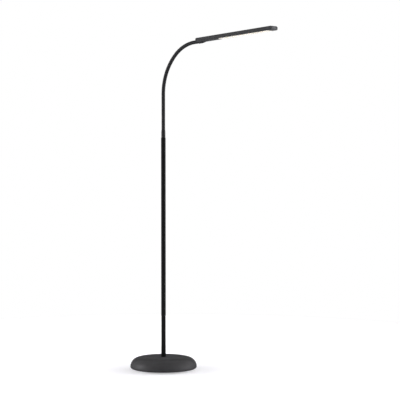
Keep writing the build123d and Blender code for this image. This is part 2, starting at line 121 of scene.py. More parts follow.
class Grain(Enum):
    """What the small relief of a finish looks like."""

    POWDER = "powder"
    MOULDED = "moulded"
    BRUSHED = "brushed"
    CAST = "cast"


@dataclass(frozen=True)
class Finish:
    """A surface's look: its colour, gloss, relief and wear.

    Colours are as seen, 0 to 1. Scales are in features a metre and heights in metres.
    metal_rim tints a metallic share's reflection, so that it doesn't whiten the rims.
    glow is the strength of the surface's own light. Between glow_fade's two distances
    from the lamp's middle plane it falls to the share that glow_edge says. This fall
    is the light's own fall-off and also painted shade on the rounded long edges.
    """

    name: str
    colour: Colour
    roughness: float
    grain: Grain
    grain_scale: float
    grain_height: float
    metallic: float = 0.0
    specular: float = 0.5
    metal_rim: Colour = (1.0, 1.0, 1.0)
    mottle: float = 0.06
    smudge: float = 0.04
    smudge_scale: float = 14.0
    glow: float = 0.0
    glow_colour: Colour = (1.0, 0.86, 0.66)
    glow_fade: tuple[float, float] = (0.0, 1.0)
    glow_edge: float = 1.0
    subsurface: float = 0.0
    scatter: tuple[float, float, float] = (0.004, 0.003, 0.002)

    def material(self) -> bpy.types.Material:
        """Build the finish's node material, once.

        Returns:
            The material, which every piece of this finish shares.
        """
        made = bpy.data.materials.get(self.name)
        if made:
            return made
        made = bpy.data.materials.new(self.name)
        made.use_nodes = True
        nodes = Nodes(made.node_tree)
        shader = made.node_tree.nodes["Principled BSDF"]
        place = nodes.add("TexCoord").outputs["Object"]
        nodes.fill(shader, {
            "Metallic": self.metallic,
            "Specular IOR Level": self.specular,
            "Specular Tint": (*self.metal_rim, 1.0),
            "Base Color": self._colour(nodes, place),
            "Roughness": self._gloss(nodes, place),
            "Normal": self._relief(nodes, place),
        })
        if self.subsurface:
            nodes.fill(shader, {
                "Subsurface Weight": self.subsurface,
                "Subsurface Radius": self.scatter,
                "Subsurface Scale": 1.0,
            })
        if self.glow:
            nodes.fill(shader, {
                "Emission Color": (*self.glow_colour, 1.0),
                "Emission Strength": self._glow(nodes, place),
            })
        return made

    def _noise(
        self, nodes: Nodes, place: bpy.types.NodeSocket, scale: float, detail: float
    ) -> bpy.types.NodeSocket:
        """Add a noise of a given size and return its value socket."""
        noise = nodes.add("TexNoise", {"Vector": place, "Scale": scale, "Detail": detail})
        return noise.outputs["Fac"]

    def _glow(self, nodes: Nodes, place: bpy.types.NodeSocket) -> bpy.types.NodeSocket:
        """Let the surface's own light fall off towards its two long edges, as the light's own
        fall-off and as painted shade on the rounded edges.

        Args:
            nodes: The material's nodes.
            place: The socket of the place on the piece.

        Returns:
            The socket of the light's strength.
        """
        split = nodes.add("SeparateXYZ", {0: place})
        off = nodes.add("Math", {0: split.outputs["Y"]}, operation="ABSOLUTE")
        fade = nodes.add("MapRange", {
            "Value": off.outputs[0],
            "From Min": self.glow_fade[0], "From Max": self.glow_fade[1],
            "To Min": self.glow, "To Max": self.glow * self.glow_edge,
        }, interpolation_type="SMOOTHSTEP")
        return fade.outputs["Result"]

    def _colour(self, nodes: Nodes, place: bpy.types.NodeSocket) -> bpy.types.NodeSocket:
        """Mottle the base colour a little, as pigment and dust do.

        Args:
            nodes: The material's nodes.
            place: The socket of the place on the piece.

        Returns:
            The colour's socket.
        """
        base = srgb(self.colour)
        spots = self._noise(
            nodes, place, self.smudge_scale * SPOTS_PER_SMUDGE, SPOT_DETAIL
        )
        ramp = nodes.add("ValToRGB", {"Fac": spots})
        dark, light = ramp.color_ramp.elements
        dark.position, light.position = NOISE_SPAN
        dark.color = (*[c * (1 - self.mottle) for c in base], 1)
        light.color = (*[min(c * (1 + self.mottle), 1) for c in base], 1)
        return ramp.outputs["Color"]

    def _gloss(self, nodes: Nodes, place: bpy.types.NodeSocket) -> bpy.types.NodeSocket:
        """Vary the roughness in soft smudges, as handling does.

        Args:
            nodes: The material's nodes.
            place: The socket of the place on the piece.

        Returns:
            The roughness's socket.
        """
        low, high = NOISE_SPAN
        spread = nodes.add("MapRange", {
            "Value": self._noise(nodes, place, self.smudge_scale, SMUDGE_DETAIL),
            "From Min": low, "From Max": high,
            "To Min": max(self.roughness - self.smudge, LEAST_ROUGHNESS),
            "To Max": min(self.roughness + self.smudge, 1.0),
        })
        return spread.outputs["Result"]

    def _relief(self, nodes: Nodes, place: bpy.types.NodeSocket) -> bpy.types.NodeSocket:
        """Give the surface its small bumps.

        Args:
            nodes: The material's nodes.
            place: The socket of the place on the piece.

        Returns:
            The socket of the bumped normal.
        """
        if self.grain is Grain.BRUSHED:
            stretch = nodes.add("Mapping", {"Vector": place, "Scale": BRUSH_STRETCH})
            place = stretch.outputs["Vector"]
        if self.grain is Grain.POWDER:
            cells = nodes.add("TexVoronoi", {"Vector": place, "Scale": self.grain_scale})
            height = cells.outputs["Distance"]
        else:
            detail = CAST_DETAIL if self.grain is Grain.CAST else FINE_DETAIL
            height = self._noise(nodes, place, self.grain_scale, detail)
        bump = nodes.add("Bump", {
            "Height": height, "Distance": self.grain_height, "Strength": BUMP_STRENGTH,
        })
        return bump.outputs["Normal"]


@dataclass(frozen=True)
class Palette:
    """Every finish on the lamp."""

    shell: Finish = Finish(
        "satin_black_shell", (0.27, 0.268, 0.273), 0.42, Grain.POWDER, 1500.0, 0.00003,
        metallic=0.14, specular=0.0, metal_rim=(0.2, 0.2, 0.2),
    )
    pole: Finish = Finish(
        "gloss_black_pole", (0.095, 0.095, 0.098), 0.3, Grain.POWDER, 1800.0, 0.000008,
        metallic=0.7, specular=0.0, metal_rim=(0.1, 0.1, 0.1),
    )
    collar: Finish = Finish(
        "black_turned_collar", (0.175, 0.175, 0.18), 0.38, Grain.BRUSHED, 900.0, 0.00001,
        specular=0.05,
    )
    hose: Finish = Finish(
        "matt_black_hose", (0.175, 0.175, 0.18), 0.5, Grain.POWDER, 2200.0, 0.00001,
        metallic=0.5, specular=0.0, metal_rim=(0.2, 0.2, 0.2),
    )
    channel: Finish = Finish(
        "matt_black_channel", (0.255, 0.255, 0.26), 0.5, Grain.POWDER, 2000.0, 0.00001,
        specular=0.03,
    )
    moulding: Finish = Finish(
        "matt_black_moulding", (0.21, 0.21, 0.215), 0.58, Grain.MOULDED, 1400.0, 0.00003,
        specular=0.03,
    )
    # Its colour is painted a little lighter than the head's other black plastic: painted light on
    # the nose's end face, which faces the lamps.
    nose: Finish = Finish(
        "matt_black_nose_painted_light", (0.265, 0.265, 0.275), 0.5, Grain.MOULDED, 1400.0, 0.00002,
        specular=0.05,
    )
    opal: Finish = Finish(
        "opal_lens", (0.9, 0.88, 0.83), 0.4, Grain.MOULDED, 600.0, 0.00001,
        specular=0.02, mottle=0.01, subsurface=0.15, glow=0.34, glow_colour=(1.0, 0.95, 0.88),
        # Between 10.5 and 13.6 mm from the middle the glow falls to 0.6: the LEDs' own fall-off,
        # and also painted shade on the strip's rounded lower edges.
        glow_fade=(0.0105, 0.0136), glow_edge=0.6,
    )
    button: Finish = Finish(
        "dark_grey_button", (0.285, 0.287, 0.3), 0.42, Grain.MOULDED, 1600.0, 0.00001,
        specular=0.1,
    )
    rubber: Finish = Finish(
        "foot_rubber", (0.07, 0.07, 0.07), 0.85, Grain.CAST, 500.0, 0.00008, specular=0.1
    )
    steel: Finish = Finish(
        "zinc_steel", (0.66, 0.66, 0.67), 0.35, Grain.BRUSHED, 700.0, 0.00001, metallic=1.0
    )
    iron: Finish = Finish(
        "cast_iron", (0.27, 0.27, 0.28), 0.7, Grain.CAST, 160.0, 0.0004, metallic=0.6
    )
    jacket: Finish = Finish(
        "lead_jacket", (0.16, 0.16, 0.16), 0.5, Grain.MOULDED, 900.0, 0.00002
    )
    board: Finish = Finish(
        "white_solder_mask", (0.9, 0.91, 0.89), 0.4, Grain.MOULDED, 500.0, 0.00001
    )
    chip: Finish = Finish(
        "light_chip", (0.95, 0.86, 0.5), 0.3, Grain.MOULDED, 900.0, 0.00001
    )
    tape: Finish = Finish(
        "thermal_tape", (0.72, 0.72, 0.74), 0.7, Grain.CAST, 500.0, 0.00002
    )


PALETTE = Palette()


# ---- mesh helpers -------------------------------------------------------------------
# Distances in metres: corners closer than a weld merge, and edges under a speck go.
WELD = 1e-7
CARVED_WELD = 1e-6
SPECK = 1e-8
NEAR = 1e-6
ROUND_SIDES = 48
TO_X = Matrix.Rotation(math.radians(90), 4, "Y")
TO_MINUS_X = Matrix.Rotation(math.radians(-90), 4, "Y")


def finished(
    name: str, shape: bmesh.types.BMesh, finish: Finish, body: str,
    stands_for: Iterable[str] = (), smooth_angle: float = 35.0,
) -> bpy.types.Object:
    """Turn a bmesh into a finished piece that rides on a body.

    Args:
        name: The piece's name.
        shape: Its mesh, in the lamp's frame. It is freed.
        finish: Its finish.
        body: The CAD body that it moves with.
        stands_for: The CAD nodes that it replaces.
        smooth_angle: Edges sharper than this, in degrees, stay crisp.

    Returns:
        The new object.
    """
    piece = as_object(name, shape, finish, smooth_angle)
    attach(piece, body)
    if stands_for:
        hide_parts(*stands_for)
    LOG.info("%s rides on %s, %d faces", name, body, len(piece.data.polygons))
    return piece


def as_object(
    name: str, shape: bmesh.types.BMesh, finish: Finish, smooth_angle: float = 35.0
) -> bpy.types.Object:
    """Turn a bmesh into an object with a finish, smooth but for its sharp edges.

    Args:
        name: The object's name.
        shape: Its mesh. It is freed.
        finish: Its finish.
        smooth_angle: Edges sharper than this, in degrees, stay crisp.

    Returns:
        The new object, at the origin.
    """
    bmesh.ops.remove_doubles(shape, verts=shape.verts, dist=WELD)
    bmesh.ops.recalc_face_normals(shape, faces=shape.faces)
    for face in shape.faces:
        face.smooth = True
    limit = math.radians(smooth_angle)
    for edge in shape.edges:
        edge.smooth = len(edge.link_faces) == 2 and edge.calc_face_angle(0) < limit
    mesh = bpy.data.meshes.new(name)
    shape.to_mesh(mesh)
    shape.free()
    mesh.materials.append(finish.material())
    piece = bpy.data.objects.new(name, mesh)
    bpy.context.scene.collection.objects.link(piece)
    return piece


def spun(
    outline: list[tuple[float, float]], steps: int, closed: bool = True
) -> bmesh.types.BMesh:
    """Turn an outline of (distance from the axis, height) a full turn about +Z.

    Args:
        outline: The half section's points, in metres.
        steps: How many steps make the turn.
        closed: Whether the outline's last point joins its first.

    Returns:
        The turned shape.
    """
    shape = bmesh.new()
    points = [shape.verts.new((r, 0.0, z)) for r, z in outline]
    for low, high in zip(points, points[1:]):
        shape.edges.new((low, high))
    if closed:
        shape.edges.new((points[-1], points[0]))
    bmesh.ops.spin(
        shape, geom=shape.verts[:] + shape.edges[:], cent=(0, 0, 0), axis=(0, 0, 1),
        angle=2 * math.pi, steps=steps, use_merge=True, use_duplicate=False,
    )
    bmesh.ops.remove_doubles(shape, verts=shape.verts, dist=WELD)
    bmesh.ops.dissolve_degenerate(shape, dist=SPECK, edges=shape.edges)
    return shape


def arc(
    centre: tuple[float, float], radius: float, start: float, end: float, count: int
) -> list[tuple[float, float]]:
    """Points on an arc between two angles, in degrees."""
    angles = [math.radians(start + (end - start) * n / count) for n in range(count + 1)]
    return [(centre[0] + radius * math.cos(a), centre[1] + radius * math.sin(a)) for a in angles]


def carved(
    piece: bmesh.types.BMesh, cutters: Iterable[bmesh.types.BMesh], join: bool = False
) -> bmesh.types.BMesh:
    """Cut shapes out of a shape, or join them to it.

    Args:
        piece: The shape that is kept. It is freed.
        cutters: The shapes that cut it or join it. They are freed.
        join: Whether the shapes join instead of cutting.

    Returns:
        The carved shape.
    """
    body = bare_object("carve_body", piece)
    for number, cutter in enumerate(cutters):
        tool = bare_object(f"carve_tool_{number}", cutter)
        step = body.modifiers.new("carve", "BOOLEAN")
        step.operation = "UNION" if join else "DIFFERENCE"
        step.solver = "EXACT"
        step.object = tool
        bpy.context.view_layer.update()
        cut = bpy.data.meshes.new_from_object(
            body.evaluated_get(bpy.context.evaluated_depsgraph_get())
        )
        body.modifiers.remove(step)
        body.data = cut
        bpy.data.objects.remove(tool)
    result = bmesh.new()
    result.from_mesh(body.data)
    bpy.data.objects.remove(body)
    bmesh.ops.remove_doubles(result, verts=result.verts, dist=CARVED_WELD)
    bmesh.ops.dissolve_degenerate(result, dist=WELD, edges=result.edges)
    return result


def bare_object(name: str, shape: bmesh.types.BMesh) -> bpy.types.Object:
    """Link a shape as an object with no finish, for carving.

    Args:
        name: The object's name.
        shape: Its mesh. It is freed.

    Returns:
        The new object.
    """
    bmesh.ops.recalc_face_normals(shape, faces=shape.faces)
    mesh = bpy.data.meshes.new(name)
    shape.to_mesh(mesh)
    shape.free()
    made = bpy.data.objects.new(name, mesh)
    bpy.context.scene.collection.objects.link(made)
    return made


def cylinder(radius: float, low: float, high: float) -> bmesh.types.BMesh:
    """A round bar on +Z.

    Args:
        radius: Its radius.
        low: The height of its lower end.
        high: The height of its upper end.

    Returns:
        The closed bar.
    """
    shape = bmesh.new()
    bmesh.ops.create_cone(
        shape, cap_ends=True, segments=ROUND_SIDES, radius1=radius, radius2=radius,
        depth=high - low, matrix=Matrix.Translation((0, 0, (low + high) / 2)),
    )
    return shape


def soften(
    shape: bmesh.types.BMesh, edges: Iterable[bmesh.types.BMEdge], width: float, segments: int
) -> None:
    """Round a shape's edges.

    Args:
        shape: The shape.
        edges: The edges to round.
        width: How far the rounding reaches from each edge.
        segments: Steps across the rounding.
    """
    bmesh.ops.bevel(
        shape, geom=list(edges), offset=width, offset_type="OFFSET", segments=segments,
        profile=0.5, affect="EDGES", clamp_overlap=True, material=-1,
    )


def moved(shape: bmesh.types.BMesh, place: Matrix) -> bmesh.types.BMesh:
    """Move a shape, and return it."""
    bmesh.ops.transform(shape, matrix=place, verts=shape.verts)
    return shape


# ---- base ---------------------------------------------------------------------------
@dataclass
class Base:
    """The weighted base: a smooth pebble cover over its weight, plate and pad."""

    radius: float = 0.115
    height: float = 0.0446
    waist: float = 0.011
    tuck: float = 0.006
    shoulder: float = 0.031
    flat_top: float = 0.056
    wall: float = 0.0024
    hole: float = 0.0051
    crown_steps: int = 8
    shoulder_steps: int = 28
    tuck_steps: int = 10
    turn_steps: int = 160
    inlet_height: float = 0.014
    inlet_seat: float = 0.1136
    inlet_radius: float = 0.0056
    past: float = 0.002
    finishes: dict[str, Finish] = field(
        default_factory=lambda: {
            "base_weight": PALETTE.iron,
            "base_plate": PALETTE.steel,
            "base_plate_screws": PALETTE.steel,
            "foot_pad": PALETTE.rubber,
            "pole_stud": PALETTE.steel,
            "stud_washer": PALETTE.steel,
            "stud_nut": PALETTE.steel,
            "inlet_nut": PALETTE.steel,
            "power_inlet": PALETTE.moulding,
            "pole_lead": PALETTE.jacket,
        }
    )

    def outline(self, inset: float) -> list[tuple[float, float]]:
        """The cover's half section, from its top out to the edge under it.

        Args:
            inset: How far inside the cover's outside it lies.

        Returns:
            Its points as (distance from the axis, height).
        """
        rise = self.height - self.waist
        reach = self.radius - self.shoulder - self.flat_top
        spare = reach**2 + rise**2 - self.shoulder**2
        crown = spare / (2 * (rise - self.shoulder))
        end = 90 - math.degrees(math.asin(reach / (crown - self.shoulder)))
        top = (self.flat_top, self.height - crown)
        points = arc(top, crown - inset, 90, end, self.crown_steps)
        centre = (self.radius - self.shoulder, self.waist)
        points += arc(centre, self.shoulder - inset, end, 0, self.shoulder_steps)[1:]
        edge = (self.radius - self.tuck, self.waist)
        points += arc(edge, self.tuck - inset, 0, -90, self.tuck_steps)[1:]
        return points

    def build(self) -> None:
        """Make the cover and dress the pieces under it."""
        top = [(self.hole, self.height - self.wall), (self.hole, self.height)]
        section = [*top, *self.outline(0.0), *reversed(self.outline(self.wall))]
        cover = spun(section, self.turn_steps)
        seat = moved(
            cylinder(self.inlet_radius, self.inlet_seat, self.radius + self.past),
            Matrix.Translation((0, 0, self.inlet_height)) @ TO_MINUS_X,
        )
        cover = carved(cover, [seat])
        finished("base_shell", cover, PALETTE.shell, "stand", ["base_cover"])
        for node, finish in self.finishes.items():
            dress(node, finish)


def dress(node: str, finish: Finish) -> None:
    """Give a CAD node a finish.

    Args:
        node: The node's name.
        finish: Its finish, in place of the one that it came with.
    """
    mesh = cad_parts[node].data
    mesh.materials.clear()
    mesh.materials.append(finish.material())


# ---- pole ---------------------------------------------------------------------------
@dataclass
class Pole:
    """The two tubes of the pole, their fittings and the turned collar on top."""

    radius: float = 0.008
    wall: float = 0.0012
    foot: float = 0.0446
    seam: float = 0.423
    top: float = 0.802
    seam_edge: float = 0.0002
    collar_radius: float = 0.0072
    collar_mouth: float = 0.0067
    collar_length: float = 0.0266
    collar_taper: float = 0.008
    socket_radius: float = 0.00625
    socket_depth: float = 0.014
    spigot_radius: float = 0.0048
    spigot_length: float = 0.018
    bore: float = 0.0032
    turn_steps: int = 72
    hidden: tuple[str, ...] = (
        "pole_foot_insert", "pole_joint_socket", "pole_joint_stud", "pole_top_insert",
    )

    def tube(self, low: float, high: float) -> bmesh.types.BMesh:
        """One length of the pole, with its ends broken by a fine chamfer.

        Args:
            low: The height of its lower end.
            high: The height of its upper end.

        Returns:
            The tube.
        """
        inner = self.radius - self.wall
        edge = self.seam_edge
        section = [
            (inner, low), (self.radius - edge, low), (self.radius, low + edge),
            (self.radius, high - edge), (self.radius - edge, high), (inner, high),
        ]
        return spun(section, self.turn_steps)

    def collar(self) -> bmesh.types.BMesh:
        """The collar: plain, then narrowing to the hose, with a spigot below.

        Returns:
            The turned shape, in place.
        """
        end = self.top + self.collar_length
        bend = end - self.collar_taper
        edge = self.seam_edge
        section = [
            (self.bore, self.top - self.spigot_length),
            (self.spigot_radius, self.top - self.spigot_length),
            (self.spigot_radius, self.top),
            (self.collar_radius - edge, self.top),
            (self.collar_radius, self.top + edge),
            (self.collar_radius, bend),
            (self.collar_mouth, end - edge),
            (self.collar_mouth - edge, end),
            (self.socket_radius, end),
            (self.socket_radius, end - self.socket_depth),
            (self.bore, end - self.socket_depth),
        ]
        return spun(section, self.turn_steps)

    def build(self) -> None:
        """Make the tubes and the collar, and dress the fittings inside."""
        finished(
            "lower_tube", self.tube(self.foot, self.seam), PALETTE.pole, "stand",
            ["lower_pole"],
        )
        finished(
            "upper_tube", self.tube(self.seam, self.top), PALETTE.pole, "stand",
            ["upper_pole"],
        )
        finished(
            "turned_collar", self.collar(), PALETTE.collar, "stand",
            ["neck_collar"], smooth_angle=20.0,
        )
        for node in self.hidden:
            dress(node, PALETTE.steel)


# ---- hose ---------------------------------------------------------------------------
@dataclass
class Hose:
    """The flexible neck: a finely wound tube that bends at each of its joints."""

    radius: float = 0.0062
    groove: float = 0.00030
    groove_share: float = 0.34
    pitch: float = 0.0031
    sides: int = 36
    rows_per_turn: int = 10
    start: float = 0.8286
    rise: float = 0.1234
    lower_bend: float = 0.185
    upper_bend: float = 0.1385
    lower_angle: float = 45.0
    tilt: float = 4.37
    tail: float = 0.0193
    socket: float = 0.018
    bite: float = 0.014
    first_joint: float = 0.022
    joint_count: int = 12
    blend_share: float = 0.45
    ball_radius: float = 0.0059
    # The joints whose two bodies are listed far body first.
    turned_round: tuple[int, ...] = (10,)

    def spans(self) -> list[tuple[float, float]]:
        """The neck's stretches as (length, bend radius), with 0 for a straight one.

        Returns:
            One pair for each stretch, from the collar up.
        """
        upper = 90 - self.tilt - self.lower_angle
        return [
            (self.rise, 0.0),
            (self.lower_bend * math.radians(self.lower_angle), self.lower_bend),
            (self.upper_bend * math.radians(upper), self.upper_bend),
            (self.tail + self.socket, 0.0),
        ]

    def at(self, distance: float) -> tuple[Vector, float]:
        """A point of the centre line and the neck's turn there.

        Args:
            distance: How far along the neck from the collar's top, in metres.

        Returns:
            The point, and the turn from upright in radians.
        """
        x, z, turned = 0.0, self.start, 0.0
        left = distance
        spans = self.spans()
        for number, (length, bend) in enumerate(spans):
            step = left if left < length or number == len(spans) - 1 else length
            if bend:
                end = turned + step / bend
                x += bend * (math.cos(turned) - math.cos(end))
                z += bend * (math.sin(end) - math.sin(turned))
                turned = end
            else:
                x += step * math.sin(turned)
                z += step * math.cos(turned)
            left -= step
            if left <= 0:
                break
        return Vector((x, 0.0, z)), turned

    def joints(self) -> list[float]:
        """How far along the neck each joint lies.

        Returns:
            One distance for each joint, in metres.
        """
        end = sum(length for length, _ in self.spans()[:3])
        gap = (end - self.first_joint) / (self.joint_count - 1)
        return [self.first_joint + gap * n for n in range(self.joint_count)]

    def depth(self, distance: float, around: float) -> float:
        """How deep the winding's groove is at a place on the hose.

        Args:
            distance: How far along the neck.
            around: The place's angle round the hose, in radians.

        Returns:
            The groove's depth there, in metres.
        """
        phase = (distance / self.pitch - around / (2 * math.pi)) % 1.0
        off = abs(phase - 0.5) * 2
        if off < 1 - self.groove_share:
            return 0.0
        share = (off - (1 - self.groove_share)) / self.groove_share
        return self.groove * share * share * (3 - 2 * share)

    def stretch(self, low: float, high: float) -> bmesh.types.BMesh:
        """A closed length of the wound hose.

        Args:
            low: Where it starts along the neck.
            high: Where it ends.

        Returns:
            The length of hose, in place.
        """
        shape = bmesh.new()
        bmesh.ops.create_circle(shape, cap_ends=True, segments=self.sides, radius=self.radius)
        rows = max(round((high - low) / self.pitch * self.rows_per_turn), 2)
        ring = list(shape.verts)
        angles = [math.atan2(v.co.y, v.co.x) for v in ring]
        self.lay(ring, angles, low)
        face = shape.faces[:][0]
        for row in range(1, rows + 1):
            grown = bmesh.ops.extrude_discrete_faces(shape, faces=[face])
            face = grown["faces"][0]
            ring = self.in_order(face, angles, low + (high - low) * (row - 1) / rows)
            self.lay(ring, angles, low + (high - low) * row / rows)
        bmesh.ops.holes_fill(shape, edges=[e for e in shape.edges if e.is_boundary], sides=0)
        return shape

    def in_order(
        self, face: bmesh.types.BMFace, angles: list[float], distance: float
    ) -> list[bmesh.types.BMVert]:
        """Sort a face's corners to match a list of angles round the hose.

        Args:
            face: The face, which lies across the hose.
            angles: The wanted angles, in radians.
            distance: How far along the neck it lies.

        Returns:
            The face's corners, one for each angle.
        """
        centre, turned = self.at(distance)
        out = Vector((math.cos(turned), 0, -math.sin(turned)))
        found = {}
        step = 2 * math.pi / self.sides
        for corner in face.verts:
            off = corner.co - centre
            around = math.atan2(off.y, off.dot(out))
            found[round(around / step) % self.sides] = corner
        return [found[round(a / step) % self.sides] for a in angles]

    def lay(
        self, ring: list[bmesh.types.BMVert], angles: list[float], distance: float
    ) -> None:
        """Move a ring of corners to its place along the neck.

        Args:
            ring: The corners.
            angles: Each corner's angle round the hose, in radians.
            distance: How far along the neck the ring lies.
        """
        centre, turned = self.at(distance)
        out = Vector((math.cos(turned), 0, -math.sin(turned)))
        side = Vector((0, 1, 0))
        for corner, around in zip(ring, angles):
            reach = self.radius - self.depth(distance, around)
            corner.co = centre + reach * (math.cos(around) * out + math.sin(around) * side)

    def elbow(self, low: float, high: float, joint: float) -> bmesh.types.BMesh:
        """A rigid length of hose with a ball at the joint that it turns about.

        Args:
            low: Where it starts along the neck.
            high: Where it ends.
            joint: Where the joint is, which is one of the two ends.

        Returns:
            The length of hose, in place.
        """
        ball = bmesh.new()
        bmesh.ops.create_uvsphere(
            ball, u_segments=self.sides, v_segments=self.sides // 2, radius=self.ball_radius,
            matrix=Matrix.Translation(self.at(joint)[0]),
        )
        return carved(self.stretch(low, high), [ball], join=True)

    def build(self) -> None:
        """Make one length of hose for each joint, reaching across it; these lengths ride on no
        body.

        The last joint, close to the head, is an elbow of two rigid lengths.
        """
        joints = self.joints()
        gap = joints[1] - joints[0]
        reach = gap * self.blend_share
        ends = [-self.bite, *[(a + b) / 2 for a, b in zip(joints, joints[1:])]]
        bodies = ["stand", *[f"neck_{n:02d}" for n in range(1, self.joint_count)], "head"]
        for number, joint in enumerate(joints[:-1], start=1):
            shape = self.stretch(ends[number - 1], ends[number])
            name = f"hose_length_{number:02d}"
            piece = as_object(name, shape, PALETTE.hose, smooth_angle=50.0)
            sides = [(bodies[number - 1], joint - reach), (bodies[number], joint + reach)]
            if number in self.turned_round:
                sides.reverse()
            (first, start), (second, end) = sides
            self.at(start)[0]
            self.at(end)[0]
            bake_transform(piece)
            stands_for = [f"neck_link_{number - 1:02d}"]
            if number == 1:
                stands_for.append("neck_lead")
            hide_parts(*stands_for)
            LOG.info("%s bends from %s to %s", name, first, second)
        tip = sum(length for length, _ in self.spans())
        last = joints[-1]
        for name, low, high, body, node in (
            ("hose_length_12", ends[-1], last, bodies[-2], "neck_link_11"),
            ("hose_tail", last, tip, bodies[-1], "neck_link_12"),
        ):
            finished(
                name, self.elbow(low, high, last), PALETTE.hose, body, [node],
                smooth_angle=50.0,
            )


# ---- head ---------------------------------------------------------------------------
@dataclass
class Head:
    """The slim bar: a channel, a rear moulding, a nose, a light strip and a button."""

    hose: Hose
    length: float = 0.318
    width: float = 0.041
    thickness: float = 0.0133
    top_round: float = 0.0058
    bottom_round: float = 0.0050
    wall: float = 0.0013
    drop: float = 0.0048
    rear_length: float = 0.006
    rear_cover_end: float = 0.096
    rear_round: float = 0.002
    rear_steps: int = 6
    cover_depth: float = 0.002
    cover_edge: float = 0.00025
    boss_radius: float = 0.0074
    boss_lip: float = 0.0008
    boss_straight: float = 0.012
    boss_end: float = 0.046
    boss_sink: float = 0.98
    boss_steps: int = 10
    neck_depth: float = 0.018
    neck_gap: float = 0.00005
    slot_width: float = 0.028
    slot_gap: float = 0.0001
    nose_length: float = 0.018
    nose_round: float = 0.003
    nose_steps: int = 8
    seam: float = 0.00012
    lens_proud: float = 0.001
    lens_depth: float = 0.0024
    lens_edge: float = 0.0008
    button_width: float = 0.024
    button_height: float = 0.0085
    button_proud: float = 0.001
    button_back: float = 0.0038
    button_rim: float = 0.0013
    button_dish: float = 0.0004
    button_edge: float = 0.0004
    button_gap: float = 0.0003
    button_well: float = 0.006
    least_round: float = 0.0004
    past: float = 0.01
    inside: dict[str, Finish] = field(
        default_factory=lambda: {
            "rear_cap_screws": PALETTE.steel,
            "neck_clamp_screw": PALETTE.steel,
            "thermal_tape": PALETTE.tape,
            "led_board": PALETTE.board,
            "led_chips": PALETTE.chip,
            "head_lead": PALETTE.jacket,
            "switch_board": PALETTE.board,
            "tact_switch": PALETTE.moulding,
            "switch_plunger": PALETTE.moulding,
            "switch_lead": PALETTE.jacket,
        }
    )

    def place(self) -> Matrix:
        """Where the head's rear face stands, and its tilt.

        Returns:
            The move from the head's own level frame to the lamp's.
        """
        tilt = math.radians(self.hose.tilt)
        bend_end = sum(length for length, _ in self.hose.spans()[:3])
        entry, _ = self.hose.at(bend_end + self.hose.tail)
        lift = Vector((-math.sin(tilt), 0, math.cos(tilt))) * self.drop
        return Matrix.Translation(entry + lift) @ Matrix.Rotation(-tilt, 4, "Y")

    def bar(
        self, start: float, end: float, inset: float = 0.0, segments: int = 8
    ) -> bmesh.types.BMesh:
        """A length of the head's rounded section, level along +X.

        Args:
            start: Its near end from the head's rear face.
            end: Its far end.
            inset: How far in from the outside it lies.
            segments: Steps round each corner.

        Returns:
            The closed bar.
        """
        shape = bmesh.new()
        bmesh.ops.create_cube(shape, size=1.0)
        wide, tall = self.width - 2 * inset, self.thickness - 2 * inset
        size = Matrix.Diagonal((end - start, wide, tall, 1))
        moved(shape, Matrix.Translation(((start + end) / 2, 0, 0)) @ size)
        for above, round_ in ((True, self.top_round), (False, self.bottom_round)):
            corner = [
                edge for edge in shape.edges
                if abs(edge.verts[0].co.x - edge.verts[1].co.x) > (end - start) / 2
                and abs(abs(edge.verts[0].co.y) - wide / 2) < NEAR
                and (edge.verts[0].co.z > 0) == above
                and abs(abs(edge.verts[0].co.z) - tall / 2) < NEAR
            ]
            soften(shape, corner, max(round_ - inset, self.least_round), segments)
        return shape

    def end_edges(self, shape: bmesh.types.BMesh, x: float) -> list[bmesh.types.BMEdge]:
        """The edges round a bar's end face."""
        return [e for e in shape.edges if all(abs(v.co.x - x) < NEAR for v in e.verts)]

    def low_edges(self, shape: bmesh.types.BMesh, z: float) -> list[bmesh.types.BMEdge]:
        """The edges round a block's underside."""
        return [e for e in shape.edges if all(v.co.z < z + NEAR for v in e.verts)]

    def box(
        self, low: tuple[float, float, float], high: tuple[float, float, float]
    ) -> bmesh.types.BMesh:
        """A block between its lowest and its highest corner.

        Args:
            low: Its lowest corner.
            high: Its highest corner.

        Returns:
            The closed block.
        """
        shape = bmesh.new()
        bmesh.ops.create_cube(shape, size=1.0)
        size = Matrix.Diagonal((*[b - a for a, b in zip(low, high)], 1))
        middle = Matrix.Translation([(a + b) / 2 for a, b in zip(low, high)])
        return moved(shape, middle @ size)

    def channel(self) -> bmesh.types.BMesh:
        """The housing: a rounded wall with an open underside.

        Returns:
            The channel, level along +X.
        """
        start, end = self.rear_length + self.seam, self.length - self.nose_length - self.seam
        outer = self.bar(start, end)
        inner = self.bar(start - self.past, end + self.past, self.wall, segments=4)
        half = self.slot_width / 2
        slot = self.box(
            (start - self.past, -half, -self.thickness), (end + self.past, half, 0)
        )
        return carved(outer, [inner, slot])

    def rear(self) -> bmesh.types.BMesh:
        """The rear moulding: cap, cover strip and the boss round the neck.

        Returns:
            The moulding, level along +X.
        """
        cap = self.bar(0, self.rear_length)
        soften(cap, self.end_edges(cap, 0), self.rear_round, self.rear_steps)
        half = self.slot_width / 2 - self.slot_gap
        bottom = -self.thickness / 2
        strip = self.box(
            (self.rear_length - self.cover_depth / 2, -half, bottom),
            (self.rear_cover_end, half, bottom + self.cover_depth),
        )
        soften(strip, self.low_edges(strip, bottom), self.cover_edge, segments=2)
        axis = Matrix.Translation((0, 0, -self.drop)) @ TO_X
        boss = moved(spun(self.boss_section(), ROUND_SIDES, closed=False), axis)
        neck = moved(
            cylinder(self.hose.radius + self.neck_gap, -self.past, self.neck_depth), axis
        )
        return carved(carved(cap, [strip, boss], join=True), [neck])

